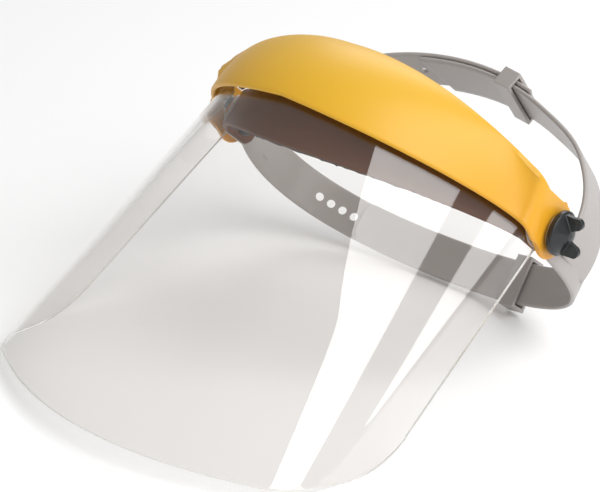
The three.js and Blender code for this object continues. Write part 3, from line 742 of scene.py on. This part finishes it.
def guard_grid(steps, plate_steps, rows):
    """The wall's columns, with the plate's columns beyond them at each end. A plate point is on
    the straight line from the wall's last column to a point of the round end."""
    flange = np.linspace(WALL_SHARE, 1, 5)[1:]
    up = np.concatenate([np.linspace(WALL_FOOT, WALL_SHARE, rows), flange])
    along = np.linspace(-1, 1, steps)
    along, up = np.meshgrid(along, up, indexing="ij")
    wall = guard_point(along, up)
    last = wall[-1].copy()
    last[:, 0] = EAR_X
    turn = np.radians(np.linspace(*EAR_TURN, last.shape[0]))
    radius = EAR_RADIUS - EAR_WALL / 2
    end = np.stack([0 * turn + EAR_X, PIVOT[1] + radius * np.cos(turn),
                    PIVOT[2] + radius * np.sin(turn)], -1)
    share = np.linspace(0, 1, plate_steps)[1:, None, None]
    plate = last + (end - last) * share
    mirror = plate[::-1] * np.array([-1, 1, 1])
    return np.concatenate([mirror, wall, plate])


guard = sheet("brow_guard_shell", guard_grid(321, 26, 44), EAR_WALL, [yellow], sharp=GUARD_SHARP)
print("guard", len(guard.data.polygons), "faces")

# %% [markdown]
# The visor. It is a flat sheet of clear plastic bent by heat, so straight lines run down it: over
# each side flap they lie side by side, and through the bend they fan out, since the bottom is bent
# tighter than the top. The grid is those straight lines, from the top edge to the bottom edge. Its
# sawn and polished rim scatters light, so the rim's faces have a brighter finish of their own.

# %% Visor
VISOR_THICKNESS = 1.0
VISOR_X = EAR_INNER_X - VISOR_THICKNESS / 2 - 0.35
shoulder = (81.4, -34.1, 4)
bend_rear, bend_front = (82.1, -86.4, -131.2), (70, -102.9, -139.9)
visor_top = chain(
    bezier((VISOR_X, -20.8, -9.5), (VISOR_X, -27, -3)),
    bezier((VISOR_X, -27, -3), (VISOR_X, -32.4, 3.2), shoulder),
    bezier(shoulder, (67.8, -40.5, 7), (52, -96.5, 5), (0, -96.5, 6)))
rear_corner = np.array([88.3, -60.6, -117.6])
visor_bottom = chain(
    bezier(rear_corner, bend_rear),
    bezier(bend_rear, (79, -98, -137.3), bend_front),
    bezier(bend_front, (46.7, -115.6, -146.6), (23.3, -122, -149.9), (0, -122, -149.9)))
CORNER = 17.0                       # radius of the bottom corners
LINES = [0, 0.25, 0.6, 1]           # where flap and bend end, as shares of the half sheet
TOP_ENDS = [0, 0.09, 0.5, 1]        # the same lines' places on the top edge
BOTTOM_ENDS = [0, 0.19, 0.36, 1]    # and on the bottom edge


def visor_point(across, down):
    """The line at s = 1 - |across| joins two places on the edges; down is the share along it.
    The bottom corner is cut back by a quarter circle."""
    s = 1 - np.abs(across)
    top = visor_top(np.interp(s, LINES, TOP_ENDS))
    bottom = visor_bottom(np.interp(s, LINES, BOTTOM_ENDS))
    inset = CORNER - np.minimum(np.linalg.norm(bottom - rear_corner, axis=-1), CORNER)
    back = CORNER - np.sqrt(CORNER ** 2 - inset ** 2)
    reach = 1 - back / np.linalg.norm(top - bottom, axis=-1)
    points = top + (bottom - top) * (down * reach)[..., None]
    points[..., 0] *= np.where(across < 0, -1, 1)
    return points


VISOR_TRIM = 0.003                  # half a millimetre as a share: the rim adds it again
fine = np.linspace(0, 1, 141) ** 0.8
fall = np.linspace(1 - VISOR_TRIM, VISOR_TRIM, 70)
across, down = np.meshgrid(np.concatenate([-fine[::-1], fine[1:]]), fall, indexing="ij")
visor = sheet("visor_pane", visor_point(across, down), VISOR_THICKNESS, [clear, edge], rim=3,
              edge_slot=1)
print("visor", len(visor.data.polygons), "faces")

# %% [markdown]
# Clips. Four push studs hold the visor's top edge against bosses inside the guard. Their places
# come from the visor's own surface, so that the holes through the sheet and the bosses line up.

# %% Clip holes and bosses
CLIP_PLACES, CLIP_DOWN = (-0.62, -0.2, 0.2, 0.62), 0.035
CLIP_HOLE, BOSS_RADIUS, BOSS_FLOOR = 1.8, 3.4, 0.7
BUSH_HOLE = 4.8


def clip_seat(u):
    """Middle of the sheet, the way out, and how far off the guard's wall is in that direction."""
    def on_sheet(aside, lower):
        return visor_point(np.array(u + aside), np.array(CLIP_DOWN + lower))
    centre = on_sheet(0, 0)
    side = on_sheet(0.01, 0) - on_sheet(-0.01, 0)
    downward = on_sheet(0, 0.02) - on_sheet(0, -0.02)
    outward = unit(np.cross(downward, side))
    along, up = np.meshgrid(np.linspace(-1, 1, 801), np.linspace(0.001, 0.87, 160),
                            indexing="ij")
    to = guard_point(along, up) - centre
    ahead = to @ outward
    aside = np.linalg.norm(to - ahead[..., None] * outward, axis=-1)
    aside[ahead <= 0] = 1e9
    return centre, outward, float(ahead.flat[np.argmin(aside)])


seats = [clip_seat(u) for u in CLIP_PLACES]
cut(visor, [pin("hole", c, o, -2, 2, CLIP_HOLE, edge, 32) for c, o, w in seats])
bosses = []
for centre, outward, wall in seats:
    boss = pin("boss", centre, outward, 0.8, wall, BOSS_RADIUS, yellow)
    bore = pin("bore", centre, outward, 0, wall - BOSS_FLOOR, CLIP_HOLE, yellow, 32)
    bosses.append(cut(boss, [bore]))
cut(guard, [pivot_pin("hole", 84, 91, BUSH_HOLE, side, yellow) for side in (LEFT, RIGHT)],
    sharp=GUARD_SHARP)
join(guard, bosses, GUARD_SHARP)
for made, name, slot in ((guard, "brow_guard", "guard_yellow"), (visor, "visor", "visor_clear")):
    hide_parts(name)
    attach(made, "visor_set")
print("walls lie", [round(w, 1) for c, o, w in seats], "mm off the visor at the clips")

# %% [markdown]
# The sweatband: a strip of foam in towelling, stuck inside the brow band. A bevelled block would
# look like rubber. Real padding is blown up by the foam inside and held in at its seams, so the
# block is remeshed and inflated a little as cloth, and no point may move further than the cap.

# %% Sweatband
PAD_CAP = 0.0011                    # metres
PAD_CUBE = 0.0014
PAD_PRESSURE = 4.0
LAST_FRAME = 20


def inflated(made, pressure, cap):
    """Some frames of cloth under pressure, without gravity, with every move capped."""
    cloth = made.modifiers.new("cloth", "CLOTH")
    settings = cloth.settings
    settings.use_pressure = True
    settings.uniform_pressure_force = pressure
    settings.effector_weights.gravity = 0
    settings.quality = 6
    settings.tension_stiffness = 40
    settings.bending_stiffness = 2
    cloth.point_cache.frame_start = 1
    cloth.point_cache.frame_end = LAST_FRAME
    rest = np.zeros(len(made.data.vertices) * 3, np.float32)
    made.data.vertices.foreach_get("co", rest)
    for number in range(1, LAST_FRAME + 1):
        bpy.context.scene.frame_set(number)
    graph = bpy.context.evaluated_depsgraph_get()
    moved = np.zeros_like(rest)
    made.evaluated_get(graph).data.vertices.foreach_get("co", moved)
    made.modifiers.clear()
    bpy.context.scene.frame_set(1)
    step = (moved - rest).reshape(-1, 3)
    length = np.maximum(np.linalg.norm(step, axis=1, keepdims=True), 1e-9)
    step *= np.minimum(1, cap / length)
    print("cloth moved by up to", round(float(length.max()) * 1000, 2), "mm before the cap")
    made.data.vertices.foreach_set("co", (rest.reshape(-1, 3) + step).ravel())
    made.data.update()


pad = bpy.data.objects.new("sweatband_pad", NODES["sweatband"].data.copy())
bpy.context.collection.objects.link(pad)
tidy(pad)
pad_remesh = pad.modifiers.new("remesh", "REMESH")
pad_remesh.mode = "VOXEL"
pad_remesh.voxel_size = PAD_CUBE
pad_relax = pad.modifiers.new("smooth", "SMOOTH")
pad_relax.factor = 0.5
pad_relax.iterations = 3
apply_all(pad)
inflated(pad, PAD_PRESSURE, PAD_CAP)
spread = pad.modifiers.new("subdivide", "SUBSURF")
spread.levels = spread.render_levels = 1
apply_all(pad)
pad.data.materials.clear()
pad.data.materials.append(foam)
shade(pad)
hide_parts("sweatband")
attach(pad, "headgear")
print("sweatband", len(pad.data.polygons), "faces")

# %% [markdown]
# The small hardware stays as CAD made it, since washers, bushes and inserts really are plain turned
# rings. It only needs its real finishes: nylon, spring steel, brass and black plastic.

# %% Finishes of the CAD pieces
FINISHES = (("friction_washer_", nylon), ("ear_bush_", nylon), ("spring_washer_", steel),
            ("knob_insert_", brass), ("visor_clip_", black), ("wing_knob_", black),
            ("pivot_bolt_", black), ("harness_", grey), ("nape_keeper", grey),
            ("crown_keeper", grey), ("brow_band", painted_shade_brown), ("brow_guard", yellow),
            ("visor", clear), ("sweatband", foam))
for name, made in NODES.items():
    finish = next(material for start, material in FINISHES if name.startswith(start))
    made.data.materials.clear()
    made.data.materials.append(finish)
floor_mesh.materials.append(principled("floor white", (0.93, 0.93, 0.93), 0.9))
print("finished", len(NODES), "CAD pieces")
